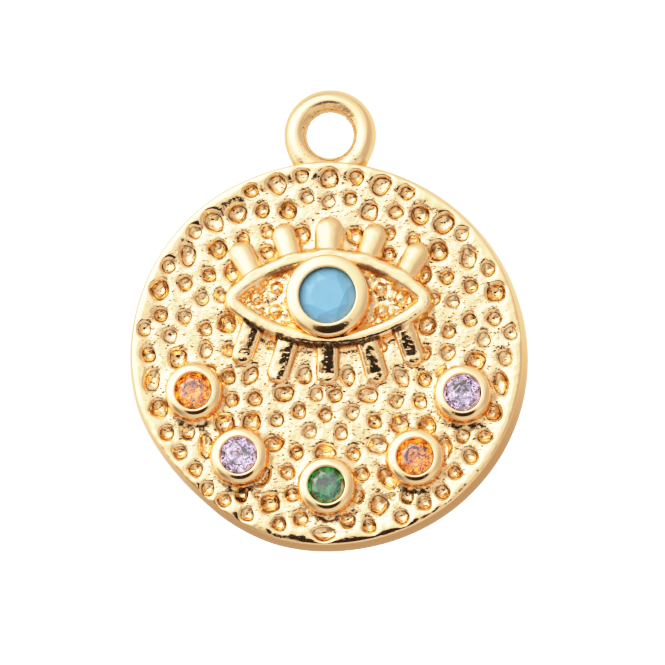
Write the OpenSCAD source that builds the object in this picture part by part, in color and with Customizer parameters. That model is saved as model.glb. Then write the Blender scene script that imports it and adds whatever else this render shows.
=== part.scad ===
/* [Disc] */
// Diameter of the round disc
disc_d = 16; // [15.8:0.1:16.3]
// Height of the dented field above the flat back
field_h = 1.35; // [1.25:0.05:1.45]
// Height of the rim's crest above the field
rim_rise = 0.14; // [0.1:0.02:0.22]
// Radius of the rim's rounded shoulder
shoulder_r = 0.55; // [0.5:0.05:0.6]
// Radius of the rounded edge at the back
back_edge_r = 0.25; // [0.15:0.05:0.35]

/* [Loop] */
// Diameter of the hole through the loop
hole_d = 1.96; // [1.8:0.02:2.04]
// Width of the metal round the hole
loop_wall = 0.89; // [0.84:0.01:0.94]
// Thickness of the loop from front to back
loop_t = 1.18; // [1.1:0.02:1.24]
// Height of the loop's middle above the back
loop_mid_h = 0.72; // [0.68:0.01:0.76]
// Bare metal between the hole and the edge of the disc
loop_gap = 0.21; // [0.15:0.01:0.26]
// How far the loop stands to the right of the disc's middle line; less than 0 is to the left
loop_x = -0.07; // [-0.1:0.01:0.1]

/* [Eye] */
// Height of the eye's middle above the middle of the disc
eye_y = 2.28; // [2.2:0.02:2.36]
// Half the width of the eye, to the middle of the lid at its corners
eye_half_w = 3.9; // [3.8:0.05:3.95]
// Rise of the lid's middle line above the eye's middle
lid_rise = 1.68; // [1.6:0.02:1.74]
// Width of the raised lid
lid_w = 0.58; // [0.5:0.02:0.62]
// Height of the lid's round top above the back
lid_top = 1.9; // [1.85:0.05:1.95]
// Height of a lash above the back where it leaves the lid
lash_root_top = 1.8; // [1.75:0.05:1.85]
// Height of a lash above the back at its rounded tip
lash_tip_top = 1.62; // [1.58:0.02:1.66]
// Rise of a bead's middle above the field, as a share of its radius
bead_rise = 0.35; // [0.2:0.05:0.6]

/* [Dents] */
// Depth of a dent as a share of its radius
dent_depth = 0.6; // [0.5:0.05:0.7]

/* [Settings] */
// Radius of the eye's bezel where it meets the disc
eye_bezel_r = 1.7; // [1.65:0.01:1.75]
// Height of the eye's bezel above the back
eye_bezel_top = 2.5; // [2.4:0.05:2.6]
// Radius of a small bezel where it meets the disc
small_bezel_r = 1.13; // [1.08:0.01:1.18]
// Height of a small bezel above the back
small_bezel_top = 2.15; // [2.1:0.05:2.25]
// How far a bezel's lip reaches over the edge of its stone
lip = 0.06; // [0.05:0.01:0.08]

/* [Stones] */
// Diameter of the blue stone in the eye
eye_stone_d = 2.42; // [2.36:0.02:2.46]
// Diameter of a small clear stone
small_stone_d = 1.6; // [1.54:0.02:1.62]
// Table width as a share of the diameter
table_share = 0.56; // [0.5:0.01:0.62]
// Slope of the facets above the girdle, in degrees
crown_angle = 33; // [30:36]
// Slope of the facets below the girdle, in degrees
pavilion_angle = 40; // [38:42]
// Width of the small flat at the bottom point, as a share of the diameter
culet_share = 0.05; // [0.04:0.01:0.08]
// Thickness of the girdle
girdle_t = 0.05; // [0.03:0.01:0.08]
// Drop of the table below the top of the bezel
table_drop = 0.02; // [0:0.01:0.06]
// Gap between a stone and its seat
seat_gap = 0.03; // [0.02:0.01:0.04]

/* [Hidden] */
$fn = 64;

disc_r = disc_d / 2;
hole_r = hole_d / 2;
loop_y = disc_r + loop_gap + hole_r;
loop_round_r = loop_t / 2;
rim_mid_r = disc_r - shoulder_r;
rim_mid_h = field_h + rim_rise - shoulder_r;
bed_h = field_h / 1.5; // relief and settings start here, inside the disc

// The lid's two arcs pass through both corners of the eye.
lid_arc_r = (eye_half_w * eye_half_w + lid_rise * lid_rise) / (2 * lid_rise);
lid_past_corner = 8; // degrees by which each arc runs on before it is cut
lid_half_angle = asin(eye_half_w / lid_arc_r) + lid_past_corner;

// Cut of the stones
facets = 8; // facets in each main ring
girdle_facet_rise = 7; // degrees by which a girdle facet is steeper than a kite
star_facet_drop = 13; // degrees by which a star facet is flatter than a kite
lower_facet_rise = 2; // degrees by which a lower girdle facet is steeper than a main
tool_spare = 1.3; // a grinding block is this much wider than its facet

// The small bezels hang in a curve, a little to the right of the disc's middle line.
row_shift = [0.06, 0];
side_seat = [5.43, -1.61];
low_seat = [3.55, -4.22];
bottom_seat = [0, -5.39];
small_seats = [
    for (spot = [
        [-side_seat.x, side_seat.y], [-low_seat.x, low_seat.y],
        bottom_seat, low_seat, side_seat
    ])
        spot + row_shift
];

// Dents are charted on the right-hand half and mirrored to the left.
// Columns: x, y, radius of the dent's edge
DENTS_TOP = [
    [0, 7.27, .42], [1.12, 7.32, .31], [3.17, 6.69, .31],
    [0, 6.34, .30], [.88, 6.46, .30], [1.66, 5.92, .40],
    [2.71, 5.91, .31], [3.70, 5.77, .40], [1.08, 4.90, .38],
    [2.47, 5.02, .28], [2.47, 4.16, .31], [3.45, 4.70, .29],
    [5.42, 4.98, .30], [4.47, 4.29, .41], [6.48, 3.57, .30]
];
DENTS_SIDE = [
    [4.81, 3.23, .31], [5.79, 2.87, .31], [6.80, 2.61, .41],
    [5.09, 2.24, .30], [4.30, 2.36, .28], [5.78, 1.50, .30],
    [6.76, 1.57, .31], [7.38, .97, .30], [4.92, 1.01, .30],
    [6.36, .70, .31], [4.06, 1.25, .40], [4.90, .14, .31],
    [6.03, -.20, .41], [7.21, -.05, .31], [6.72, -2.25, .38],
    [3.97, .12, .28], [2.27, .36, .20]
];
DENTS_BELOW = [
    [3.97, -.95, .32], [3.82, -1.88, .30], [4.10, -2.85, .41],
    [.38, -1.62, .31], [2.87, -1.83, .32], [0, -2.43, .30],
    [1.07, -2.33, .31], [1.98, -2.68, .31], [3.00, -2.80, .41],
    [.63, -3.16, .30], [1.14, -4.02, .30], [5.55, -3.22, .31],
    [6.41, -3.25, .31], [5.85, -4.05, .31]
];
DENTS_FOOT = [
    [1.50, -4.82, .31], [1.30, -5.72, .30], [2.21, -6.07, .42],
    [3.34, -5.72, .30], [4.03, -5.96, .31], [.95, -6.68, .31],
    [1.81, -6.90, .31], [3.12, -6.53, .31], [5.21, -4.73, .30],
    [4.74, -5.52, .31], [2.74, -5.74, .14]
];

// Oval dents, also mirrored
// Columns: x, y, half width, half length, turn of the long axis from the x axis
DENTS_OVAL = [
    [2.10, 6.97, .36, .46, 40], [4.67, 5.42, .38, .48, 40],
    [5.70, 4.03, .33, .47, 90], [3.90, 3.35, .33, .45, 90],
    [7.03, -1.10, .30, .50, 100], [.88, -.85, .30, .42, 90],
    [3.06, -.88, .30, .46, 120], [1.71, -1.60, .34, .48, 0],
    [0, -3.97, .35, .48, 0], [2.12, -3.67, .34, .46, 0],
    [4.82, -3.75, .28, .55, 90], [2.57, -5.00, .32, .52, 130],
    [0, -7.25, .32, .50, 0]
];

// Lashes, mirrored
// Columns: x and y of the root, x and y of the tip, half width
LASHES = [
    [0, 3.9, 0, 5.59, .44], [1.45, 3.72, 1.97, 5.31, .41], [2.98, 3.05, 3.74, 4.56, .42],
    [0, .6, 0, -1.19, .42], [1.50, .85, 2.10, -1.13, .41], [2.96, 1.40, 3.59, -.39, .41]
];

// Beads in the corners of the eye, mirrored
// Columns: x, y, radius
BEADS = [
    [2.10, 2.70, .28], [2.92, 2.30, .30], [2.16, 1.76, .30],
    [1.80, 3.26, .16], [1.83, 1.24, .17], [3.28, 2.16, .14], [2.56, 3.02, .15], [2.62, 1.62, .14]
];

// A piece on the middle line is drawn once, any other on both sides.
function sides(x) = x == 0 ? [1] : [-1, 1];

// Height of the blank's front face at a distance from its middle
function front_h(d) =
    d < rim_mid_r - shoulder_r
        ? field_h
        : max(field_h, rim_mid_h + sqrt(pow(shoulder_r, 2) - pow(d - rim_mid_r, 2)));

// Radius of a round bottom that is half_w wide and deep at its middle
function cap_r(half_w, deep) = (half_w * half_w + deep * deep) / (2 * deep);

function crown_h(d) = d / 2 * (1 - table_share) * tan(crown_angle);
function pavilion_h(d) = d / 2 * (1 - culet_share) * tan(pavilion_angle);

// Height of a girdle's lower edge above the back, from the top of its bezel
function girdle_h(d, top) = top - table_drop - crown_h(d) - girdle_t;

module disc_blank() {
    rotate_extrude() {
        square([rim_mid_r, field_h]);
        square([disc_r - back_edge_r, field_h / 2]);
        translate([disc_r - back_edge_r, back_edge_r])
            circle(back_edge_r);
        translate([rim_mid_r, back_edge_r])
            square([shoulder_r, rim_mid_h - back_edge_r]);
        translate([rim_mid_r, rim_mid_h])
            circle(shoulder_r);
    }
}

module loop_ring() {
    translate([loop_x, loop_y, loop_mid_h])
        rotate_extrude()
            translate([hole_r + loop_wall - loop_round_r, 0])
                circle(loop_round_r);
}

module round_dent(spot) {
    deep = dent_depth * spot[2];
    ball_r = cap_r(spot[2], deep);
    translate([spot.x, spot.y, front_h(norm([spot.x, spot.y])) - deep + ball_r])
        sphere(ball_r);
}

// Two round dents run together along the long axis
module oval_dent(spot) {
    off = spot[3] - spot[2];
    along = [cos(spot[4]), sin(spot[4])];
    for (end = [-1, 1])
        round_dent([spot.x + end * off * along.x, spot.y + end * off * along.y, spot[2]]);
}

module dents() {
    for (spot = concat(DENTS_TOP, DENTS_SIDE, DENTS_BELOW, DENTS_FOOT))
        for (side = sides(spot.x))
            scale([side, 1, 1])
                round_dent(spot);
    for (spot = DENTS_OVAL)
        for (side = sides(spot.x))
            scale([side, 1, 1])
                oval_dent(spot);
}

// One arc of the lid, from corner to corner, cut at the eye's middle line
module lid_arc() {
    intersection() {
        translate([0, lid_rise - lid_arc_r, 0])
            rotate([0, 0, 90 - lid_half_angle])
                rotate_extrude(angle = 2 * lid_half_angle) {
                    translate([lid_arc_r - lid_w / 2, bed_h])
                        square([lid_w, lid_top - lid_w / 2 - bed_h]);
                    translate([lid_arc_r, lid_top - lid_w / 2])
                        circle(lid_w / 2);
                }
        translate([-2 * eye_half_w, 0, 0])
            cube([4 * eye_half_w, 2 * lid_rise, 2 * lid_top]);
    }
}

module lid() {
    translate([0, eye_y, 0])
        for (turn = [0, 180])
            rotate([0, 0, turn])
                lid_arc();
}

// A round-ended bar that runs down from the lid to its tip
module lash(row) {
    half_w = row[4];
    along = [row[2] - row[0], row[3] - row[1]];
    long = norm(along) - half_w;
    translate([row[0], row[1], lash_root_top - half_w])
        rotate([0, 0, atan2(along.y, along.x)])
            rotate([0, 90 + atan((lash_root_top - lash_tip_top) / long), 0])
                rotate_extrude() {
                    square([half_w, long]);
                    intersection() {
                        translate([0, long])
                            circle(half_w);
                        square([half_w, long + half_w]);
                    }
                }
}

module lashes() {
    for (row = LASHES)
        for (side = sides(row[0]))
            scale([side, 1, 1])
                lash(row);
}

module beads() {
    for (bead = BEADS)
        for (side = [-1, 1])
            translate([side * bead.x, bead.y, field_h + bead_rise * bead[2]])
                sphere(bead[2]);
}

// A raised collar with a rounded top; the stone's seat is cut later
module bezel(base_r, top, opening_r) {
    round_r = (base_r - opening_r) / 2;
    translate([0, 0, bed_h])
        cylinder(r = base_r - round_r, h = top - round_r - bed_h);
    rotate_extrude() {
        translate([opening_r + round_r, top - round_r])
            circle(round_r);
        translate([opening_r, bed_h])
            square([2 * round_r, top - round_r - bed_h]);
    }
}

// The room that a stone needs, open at the top through the bezel's lip
module seat(d, top) {
    r = d / 2;
    base = girdle_h(d, top);
    lip_r = r - lip;
    wall_r = r + seat_gap;
    shoulder = base + girdle_t + seat_gap;
    rotate_extrude()
        polygon([
            [0, base - pavilion_h(d) - 2 * seat_gap],
            [r * culet_share, base - pavilion_h(d) - 2 * seat_gap],
            [wall_r, base - seat_gap / 2],
            [wall_r, shoulder],
            [lip_r, shoulder + (wall_r - lip_r) * tan(crown_angle)],
            [lip_r, top + 1],
            [0, top + 1]
        ]);
}

module bezels() {
    translate([0, eye_y, 0])
        bezel(eye_bezel_r, eye_bezel_top, eye_stone_d / 2 - lip);
    for (spot = small_seats)
        translate([spot.x, spot.y, 0])
            bezel(small_bezel_r, small_bezel_top, small_stone_d / 2 - lip);
}

module seats() {
    translate([0, eye_y, 0])
        seat(eye_stone_d, eye_bezel_top);
    for (spot = small_seats)
        translate([spot.x, spot.y, 0])
            seat(small_stone_d, small_bezel_top);
}

module medallion() {
    color("gold")
        difference() {
            union() {
                difference() {
                    union() {
                        disc_blank();
                        loop_ring();
                    }
                    dents();
                }
                lid();
                lashes();
                beads();
                bezels();
            }
            seats();
            translate([loop_x, loop_y, -1])
                cylinder(r = hole_r, h = field_h + 2);
        }
}

// Removes what lies above one ring of sloping facets, as a grinding wheel does
module facet_ring(count, first, slope, edge_r, edge_h, stone_r) {
    half_w = tool_spare * stone_r * tan(180 / count);
    for (i = [0 : count - 1])
        rotate([0, 0, first + i * 360 / count])
            translate([edge_r, 0, edge_h])
                rotate([0, slope, 0])
                    translate([-tool_spare * stone_r, -half_w, 0])
                        cube([2 * stone_r, 2 * half_w, stone_r]);
}

// A round brilliant: table, kite, star and girdle facets above, two rings below
module brilliant(d) {
    r = d / 2;
    step = 360 / facets;
    table_h = girdle_t + crown_h(d);
    table_edge_r = r * table_share * cos(step / 2);
    difference() {
        translate([0, 0, -pavilion_h(d)])
            cylinder(r = r, h = pavilion_h(d) + table_h);
        facet_ring(facets, 0, crown_angle, r, girdle_t, r);
        facet_ring(2 * facets, step / 4, crown_angle + girdle_facet_rise, r, girdle_t, r);
        facet_ring(facets, step / 2, crown_angle - star_facet_drop, table_edge_r, table_h, r);
        mirror([0, 0, 1]) {
            facet_ring(facets, 0, pavilion_angle, r, 0, r);
            facet_ring(2 * facets, step / 4, pavilion_angle + lower_facet_rise, r, 0, r);
        }
    }
}

module set_stone(spot, d, top) {
    translate([spot.x, spot.y, girdle_h(d, top)])
        brilliant(d);
}

module eye_stone() {
    color("skyblue")
        set_stone([0, eye_y], eye_stone_d, eye_bezel_top);
}

module small_stone(index, tint) {
    color(tint)
        set_stone(small_seats[index], small_stone_d, small_bezel_top);
}

module orange_stone_left() {
    small_stone(0, "darkorange");
}

module lilac_stone_left() {
    small_stone(1, "plum");
}

module green_stone() {
    small_stone(2, "seagreen");
}

module orange_stone_right() {
    small_stone(3, "darkorange");
}

module lilac_stone_right() {
    small_stone(4, "plum");
}

medallion();
eye_stone();
orange_stone_left();
lilac_stone_left();
green_stone();
orange_stone_right();
lilac_stone_right();
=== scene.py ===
# Eye pendant: a gold-plated cast medallion with a lashed eye, dents and six set stones
import math
import random

import bpy
import numpy as np
from mathutils import Matrix, Vector, kdtree, noise
from mathutils.geometry import delaunay_2d_cdt


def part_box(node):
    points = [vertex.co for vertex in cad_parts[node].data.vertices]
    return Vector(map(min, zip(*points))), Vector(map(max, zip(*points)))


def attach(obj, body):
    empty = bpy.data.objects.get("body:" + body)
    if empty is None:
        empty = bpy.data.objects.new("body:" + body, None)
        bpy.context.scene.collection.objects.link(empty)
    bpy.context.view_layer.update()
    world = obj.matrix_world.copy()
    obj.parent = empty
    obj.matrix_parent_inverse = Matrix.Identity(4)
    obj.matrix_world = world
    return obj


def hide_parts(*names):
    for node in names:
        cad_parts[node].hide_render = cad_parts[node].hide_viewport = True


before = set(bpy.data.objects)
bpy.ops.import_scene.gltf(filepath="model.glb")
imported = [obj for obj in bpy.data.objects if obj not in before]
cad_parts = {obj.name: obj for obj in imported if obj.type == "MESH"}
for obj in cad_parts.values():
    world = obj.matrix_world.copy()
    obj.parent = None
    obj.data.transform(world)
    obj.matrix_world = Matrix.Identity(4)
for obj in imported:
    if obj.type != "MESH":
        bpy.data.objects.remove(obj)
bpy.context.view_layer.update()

millimetre = 0.001
scene = bpy.context.scene


# Camera, at the photograph's angle to the face

cameraSetup = {
    "pixelsPerMm": 24.75,
    "imageWidth": 665,
    "distance": 220.0,  # mm from the face
    "below": 9.0,  # degrees that it stands below the face's normal
    "right": 3.0,
    "roll": 0.85,
    "lookAt": (0, 0, 1.5),
    "shiftRight": 0.198,  # mm from lookAt to the middle of the picture
    "shiftUp": 0.884,
    "sensor": 36.0,
}


def cameraAxes():
    # the picture's right and up, and the way from the pendant to the camera
    aside, below = (math.sin(math.radians(cameraSetup[key])) for key in ("right", "below"))
    towards = Vector((aside, -below, math.sqrt(1 - aside ** 2 - below ** 2)))
    up = (Vector((0, 1, 0)) - towards * towards.y).normalized()
    right = up.cross(towards)
    turn = math.radians(cameraSetup["roll"])
    return (
        right * math.cos(turn) + up * math.sin(turn),
        up * math.cos(turn) - right * math.sin(turn),
        towards,
    )


def makeCamera():
    right, up, towards = cameraAxes()
    middle = Vector(cameraSetup["lookAt"])
    middle += right * cameraSetup["shiftRight"] + up * cameraSetup["shiftUp"]
    data = bpy.data.cameras.new("camera")
    data.sensor_width = cameraSetup["sensor"]
    focalPixels = cameraSetup["pixelsPerMm"] * cameraSetup["distance"]
    data.lens = focalPixels * cameraSetup["sensor"] / cameraSetup["imageWidth"]
    data.clip_start = 0.01
    camera = bpy.data.objects.new("camera", data)
    scene.collection.objects.link(camera)
    place = Matrix((right, up, towards)).transposed().to_4x4()
    place.translation = (middle + towards * cameraSetup["distance"]) * millimetre
    camera.matrix_world = place
    scene.camera = camera


makeCamera()
print("camera ready")


# Shader maths: an expression on sockets adds its own Math nodes

class Sock:
    def __init__(self, tree, socket):
        self.tree = tree
        self.socket = socket

    def maths(self, operation, *others):
        return self.tree.node("ShaderNodeMath", {"operation": operation}, (self, *others))

    def __add__(self, other):
        return self.maths("ADD", other)

    def __radd__(self, other):
        return self.maths("ADD", other)

    def __sub__(self, other):
        return self.maths("SUBTRACT", other)

    def __rsub__(self, other):
        return self.tree.node("ShaderNodeMath", {"operation": "SUBTRACT"}, (other, self))

    def __mul__(self, other):
        return self.maths("MULTIPLY", other)

    def __rmul__(self, other):
        return self.maths("MULTIPLY", other)

    def __truediv__(self, other):
        return self.maths("DIVIDE", other)

    def __rtruediv__(self, other):
        return self.tree.node("ShaderNodeMath", {"operation": "DIVIDE"}, (other, self))

    def clipped(self):
        return self.maths("MINIMUM", 1.0).maths("MAXIMUM", 0.0)


class Tree:
    def __init__(self, owner):
        owner.use_nodes = True
        self.nodes = owner.node_tree.nodes
        self.links = owner.node_tree.links
        self.nodes.clear()

    # A node of any type: its settings first, then what goes into its sockets
    def node(self, kind, settings=None, inputs=(), output=0):
        made = self.nodes.new(kind)
        for name, value in (settings or {}).items():
            setattr(made, name, value)
        pairs = inputs.items() if isinstance(inputs, dict) else enumerate(inputs)
        for name, value in pairs:
            self.feed(made.inputs[name], value)
        return Sock(self, made.outputs[output]) if made.outputs else None

    def feed(self, socket, value):
        if isinstance(value, Sock):
            self.links.new(value.socket, socket)
        else:
            socket.default_value = value

    # two colours mixed: the node's names repeat, so its colour sockets go by number
    def mix(self, share, one, other):
        return self.node("ShaderNodeMix", {"data_type": "RGBA"}, {0: share, 6: one, 7: other}, output=2)

    # noise with marks of a size in millimetres
    def speckle(self, place, size, detail):
        return self.node("ShaderNodeTexNoise", {}, {
            "Vector": place, "Scale": 1 / (size * millimetre), "Detail": detail,
        })

    def attribute(self, name):
        return self.node("ShaderNodeAttribute", {"attribute_name": name}, output="Fac")

    # 0 to 1 as a direction turns towards a fixed one, between two cosines of the angle
    def facing(self, way, fixed, low, high):
        way = self.node("ShaderNodeVectorMath", {"operation": "NORMALIZE"}, (way,))
        cosine = self.node("ShaderNodeVectorMath", {"operation": "DOT_PRODUCT"}, (way, fixed), output="Value")
        return self.node("ShaderNodeMapRange", {"interpolation_type": "SMOOTHSTEP"}, {
            "Value": cosine, "From Min": low, "From Max": high,
        })


# Round ridges, bowls and soft joins, on arrays of points

def softMax(a, b, blend):
    return 0.5 * (a + b + np.sqrt((a - b) ** 2 + blend ** 2))


def softMin(a, b, blend):
    return 0.5 * (a + b - np.sqrt((a - b) ** 2 + blend ** 2))


def smoothStep(low, high, value):
    t = np.clip((value - low) / (high - low), 0, 1)
    return t * t * (3 - 2 * t)


def ridge(distance, halfWidth, height, crown, shoulder=6, wall=3.5):
    # a low crown of that radius, rounded off at the sides, and a steep wall beyond its foot
    share = np.clip(distance / halfWidth, 0, 1)
    top = height - distance ** 2 / (2 * crown)
    return top * np.sqrt(1 - share ** shoulder) - wall * np.maximum(distance - halfWidth, 0)


def grain(points, size, seed):
    # smooth noise from about -1 to 1, one value a point
    shift = Vector((seed * 17.3, seed * 5.1, seed * 9.7))
    return np.array([noise.noise(Vector((x / size, y / size, 0)) + shift) for x, y in points])


# The medallion's sizes in millimetres; settings and stones take their places from the frame

def stonePlace(node):
    low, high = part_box(node)
    return {
        "x": (low.x + high.x) / 2 / millimetre,
        "y": (low.y + high.y) / 2 / millimetre,
        "radius": (high.x - low.x) / 2 / millimetre,
        "top": high.z / millimetre,
        "bottom": low.z / millimetre,
    }


smallStones = [
    "orange_stone_left", "lilac_stone_left", "green_stone", "orange_stone_right", "lilac_stone_right",
]
stones = {name: stonePlace(name) for name in ["eye_stone", *smallStones]}

disc = {
    # clock angle from the loop, and radius there: the casting isn't quite round
    "outline": [
        (0, 8.09), (14, 8.03), (32, 8.01), (50, 8.03), (78, 8.07), (105, 8.08), (135, 8.0),
        (168, 7.88), (195, 7.88), (212, 7.78), (222, 7.72), (236, 7.81), (255, 8.05), (290, 8.12),
        (320, 8.12), (340, 8.07),
    ],
    "fieldHeight": 1.35,
    "rimRise": 0.07,
    "rimBlend": 0.04,
    "crestInset": 0.38,
    "innerCrown": 1.1,  # the rim is a low crown, which ends in a crease above the side
    "outerCrown": 0.6,
    "wideAt": 192,  # clock angle where it falls off over a wider band
    "wideSpread": 30,
    "wider": 0.8,
    "creaseInset": 0.2,
    "creaseDeeper": 0.07,  # it lies this much further in at the right
    "deeperAt": 88,
    "deeperSpread": 48,
    "creaseRound": 0.12,
    "creaseTilt": 58,
    "creaseSteps": 6,
    "sideFoot": 0.5,  # the side leans outwards down to this height
    "sideShares": (0.2, 0.4, 0.6, 0.8),
    "sideBend": 1.5,
    "backEdge": 0.25,
    "backSteps": 7,
    "backRings": (0.6, 1.2, 2.4, 4.0, 6.0),  # mm in from the outline
    "around": 680,  # points round the outline
}

loop = {
    "holeRadius": 0.95,
    "wall": 0.93,
    "thickness": 0.94,
    "middleHeight": 0.72,
    "x": -0.07,
    "y": 9.16,
    "neckFrom": (1.9, 2.5),  # radians from the top, where the bar thickens towards the disc
    "neckWider": 0.1,
    "beyond": (0.05, 0.15),  # its skin begins this far past the disc's outline
    "rough": 0.04,  # of the wall of the hole
    "roughMarks": (9, 1.5),  # how close the marks lie along the bar and round it
    "roughInside": (-0.2, -0.7),
    "roughAbove": (-0.2, 0.5),
    "steps": 160,
    "section": 44,
}

eye = {
    "y": 2.28,
    "halfWidth": 4.05,
    "rise": 1.69,
    "cornerRound": 0.35,  # of the lid's middle line
    "cornerDrop": 0.09,
    "lidHalf": 0.34,
    "lidHeight": 0.52,
    "lidCrown": 1.25,
    "lidBlend": 0.03,
    "floor": 1.42,
    "floorFrom": 0.02,  # the lid's middle line
}

bezels = {
    "eye": {"radius": 1.7, "crown": 1.9, "crestTilt": 4, "crownTilt": 15, "round": 0.15, "around": 120},
    "small": {"radius": 1.165, "crown": 0.75, "crestTilt": 3, "crownTilt": 20, "round": 0.2, "around": 96},
    "overTop": 0.03,  # the crest stands this far above the stone's table
    "footRise": 0.05,
    "wallShares": (0.25, 0.6),
    "wallTilt": 86,
    "roundSteps": 9,
    "crownSteps": 6,
    "lip": 0.06,
    "lipRound": 0.06,
    "lipTurns": (30, 60, 90),
    "lipSlope": 0.06,
    "gap": 0.03,
    "ledgeDrop": 0.07,  # from the stone's girdle down to the ledge of its seat
    "coneDrop": 0.05,
    "seatDrop": 0.06,  # from the stone's point down to the bottom of its seat
}

# The stones' cut: from the girdle the crown slopes in over this share of the radius, at this angle
cut = {
    "crownShare": 0.44,
    "crownAngle": 33,
}

# The cast metal runs out in a low, uneven skirt round the bezels and the lid
skirts = {
    "bezel": 0.13,
    "lid": 0.1,
    "reach": 0.09,
}

# The casting's unevenness as layers of noise: strength, size of the marks in mm, and seed
unevenness = {
    "field": [(0.016, 1.3, 1), (0.018, 0.45, 2), (0.007, 0.21, 6)],
    "rim": [(0.012, 0.7, 7), (0.01, 0.25, 10)],
    "eyeFloor": [(0.06, 0.24, 3), (0.025, 0.11, 4)],
    "dent": [(0.018, 0.13, 5)],
    "ridge": [(0.008, 0.4, 8), (0.004, 0.17, 9)],
    "skirt": [(0.6, 0.15, 13)],
    "underLid": [(0.06, 0.13, 12)],  # the edge of the dark band there
    "underSpan": [(1.2, 0.5, 14)],
    "underBezel": [(1, 0.14, 15)],
}

# Dents of the right-hand half, mirrored to the left
# Columns: x, y, half width, half length, turn of the long axis in degrees
dentChart = [
    (0, 7.27, .42, .42, 0), (1.12, 7.32, .31, .31, 0), (2.10, 6.97, .38, .46, 40),
    (3.17, 6.69, .31, .31, 0), (0, 6.34, .30, .30, 0), (.88, 6.46, .30, .30, 0),
    (1.66, 5.92, .40, .40, 0), (2.71, 5.91, .31, .31, 0), (3.70, 5.77, .40, .41, 0),
    (1.08, 4.90, .38, .38, 0), (2.47, 5.02, .28, .28, 0), (2.47, 4.16, .31, .31, 0),
    (3.45, 4.70, .29, .29, 0), (4.67, 5.42, .40, .46, 45), (5.42, 4.98, .30, .30, 0),
    (4.47, 4.29, .41, .41, 0), (5.70, 4.03, .33, .47, 90), (6.48, 3.57, .30, .30, 0),
    (4.81, 3.23, .31, .31, 0), (5.79, 2.87, .31, .31, 0), (6.80, 2.61, .41, .41, 0),
    (5.09, 2.24, .30, .30, 0), (5.78, 1.50, .30, .30, 0), (6.76, 1.57, .31, .31, 0),
    (7.41, .97, .30, .30, 0), (4.92, 1.01, .30, .30, 0), (6.36, .70, .31, .31, 0),
    (4.06, 1.25, .40, .40, 0), (4.30, 2.36, .28, .28, 0), (3.90, 3.35, .33, .45, 90),
    (4.90, .14, .31, .35, 90), (6.03, -.20, .41, .41, 0), (7.21, -.05, .30, .34, 90),
    (7.03, -1.10, .30, .50, 100), (6.72, -2.25, .38, .38, 0), (5.55, -3.22, .31, .31, 0),
    (6.41, -3.25, .31, .31, 0), (5.85, -4.05, .31, .31, 0), (3.97, -.95, .32, .32, 0),
    (3.82, -1.88, .30, .30, 0), (4.10, -2.85, .41, .41, 0), (4.82, -3.75, .28, .55, 90),
    (.88, -.85, .30, .42, 90), (3.06, -.88, .30, .46, 120), (.38, -1.62, .31, .31, 0),
    (1.71, -1.60, .34, .48, 0), (2.87, -1.83, .32, .32, 0), (0, -2.43, .30, .30, 0),
    (1.07, -2.33, .31, .31, 0), (1.98, -2.68, .31, .31, 0), (3.00, -2.80, .41, .41, 0),
    (.63, -3.16, .30, .30, 0), (0, -3.97, .35, .48, 0), (1.14, -4.02, .30, .30, 0),
    (2.12, -3.67, .34, .46, 0), (1.50, -4.82, .31, .31, 0), (2.57, -5.00, .32, .52, 130),
    (1.30, -5.72, .30, .30, 0), (2.21, -6.07, .42, .42, 0), (3.34, -5.72, .30, .30, 0),
    (4.03, -5.96, .31, .31, 0), (.95, -6.68, .31, .31, 0), (1.81, -6.90, .31, .31, 0),
    (3.12, -6.53, .31, .31, 0), (0, -7.25, .32, .50, 0), (5.21, -4.73, .30, .30, 0),
    (4.74, -5.52, .31, .31, 0), (2.27, .36, .20, .20, 0), (3.97, .12, .28, .28, 0),
    (4.75, -.75, .30, .30, 0), (2.74, -5.74, .14, .14, 0),
]

dents = {
    "depth": 0.66,  # share of the half width
    "steepness": 3.0,  # 2 is a plain bowl; more has a flatter bottom and steeper walls
    "lipBlend": 0.09,  # a wide round lip
    "reach": 1.6,  # shares of the half length
    "pitDepth": 0.12,  # the deeper middle that the punch left, as shares of the half width
    "pitEdge": 0.42,
    "pitSoft": 0.14,
    "roughTo": (0.9, 0.7),  # the bottom is uneven, and the wall smooth
    "wobble": 0.05,
    "offCentre": -0.045,  # the whole chart lies this far to the left
    "lean": 0.02,  # its right half lies this much lower, and its left half higher
    "stray": 0.012,
    "sizes": (0.96, 1.04),  # the casting's spread round each value, as shares of it
    "depths": (0.85, 1.15),
    "pits": (0, 1.4),
    "pitEdges": (0.8, 1.2),
    "wobbles": (0.3, 1),
    "seed": 4,
}

# Lashes, mirrored
# Columns: x and y of the root, x and y of the round tip's middle, half width at the root and at the tip
lashChart = [
    (-.03, 3.9, -.03, 5.10, .58, .54),
    (1.45, 3.72, 1.84, 4.87, .51, .50),
    (2.98, 3.05, 3.55, 4.13, .51, .51),
    (0, .6, 0, -.76, .48, .46),
    (1.50, .85, 1.98, -.72, .48, .46),
    (2.96, 1.40, 3.45, .01, .48, .45),
]
lashes = {
    # root and tip are heights, and the joint is how softly the lash runs into the lid
    "upper": {
        "root": 0.46, "tip": 0.27, "crown": 1.2, "shoulder": 3, "rough": 1.6, "fillet": 0.1, "joint": 0.12,
    },
    "lower": {
        "root": 0.42, "tip": 0.2, "crown": 2.4, "shoulder": 8, "rough": 2.8, "fillet": 0.06, "joint": 0,
    },
    "droop": 1.4,  # they bend down towards the tip
    "reach": 1.5,  # half widths
    "jointSide": (0.05, -0.2),
    "jointStart": (0.08, 0.28),  # from the lid's middle line
}

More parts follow.
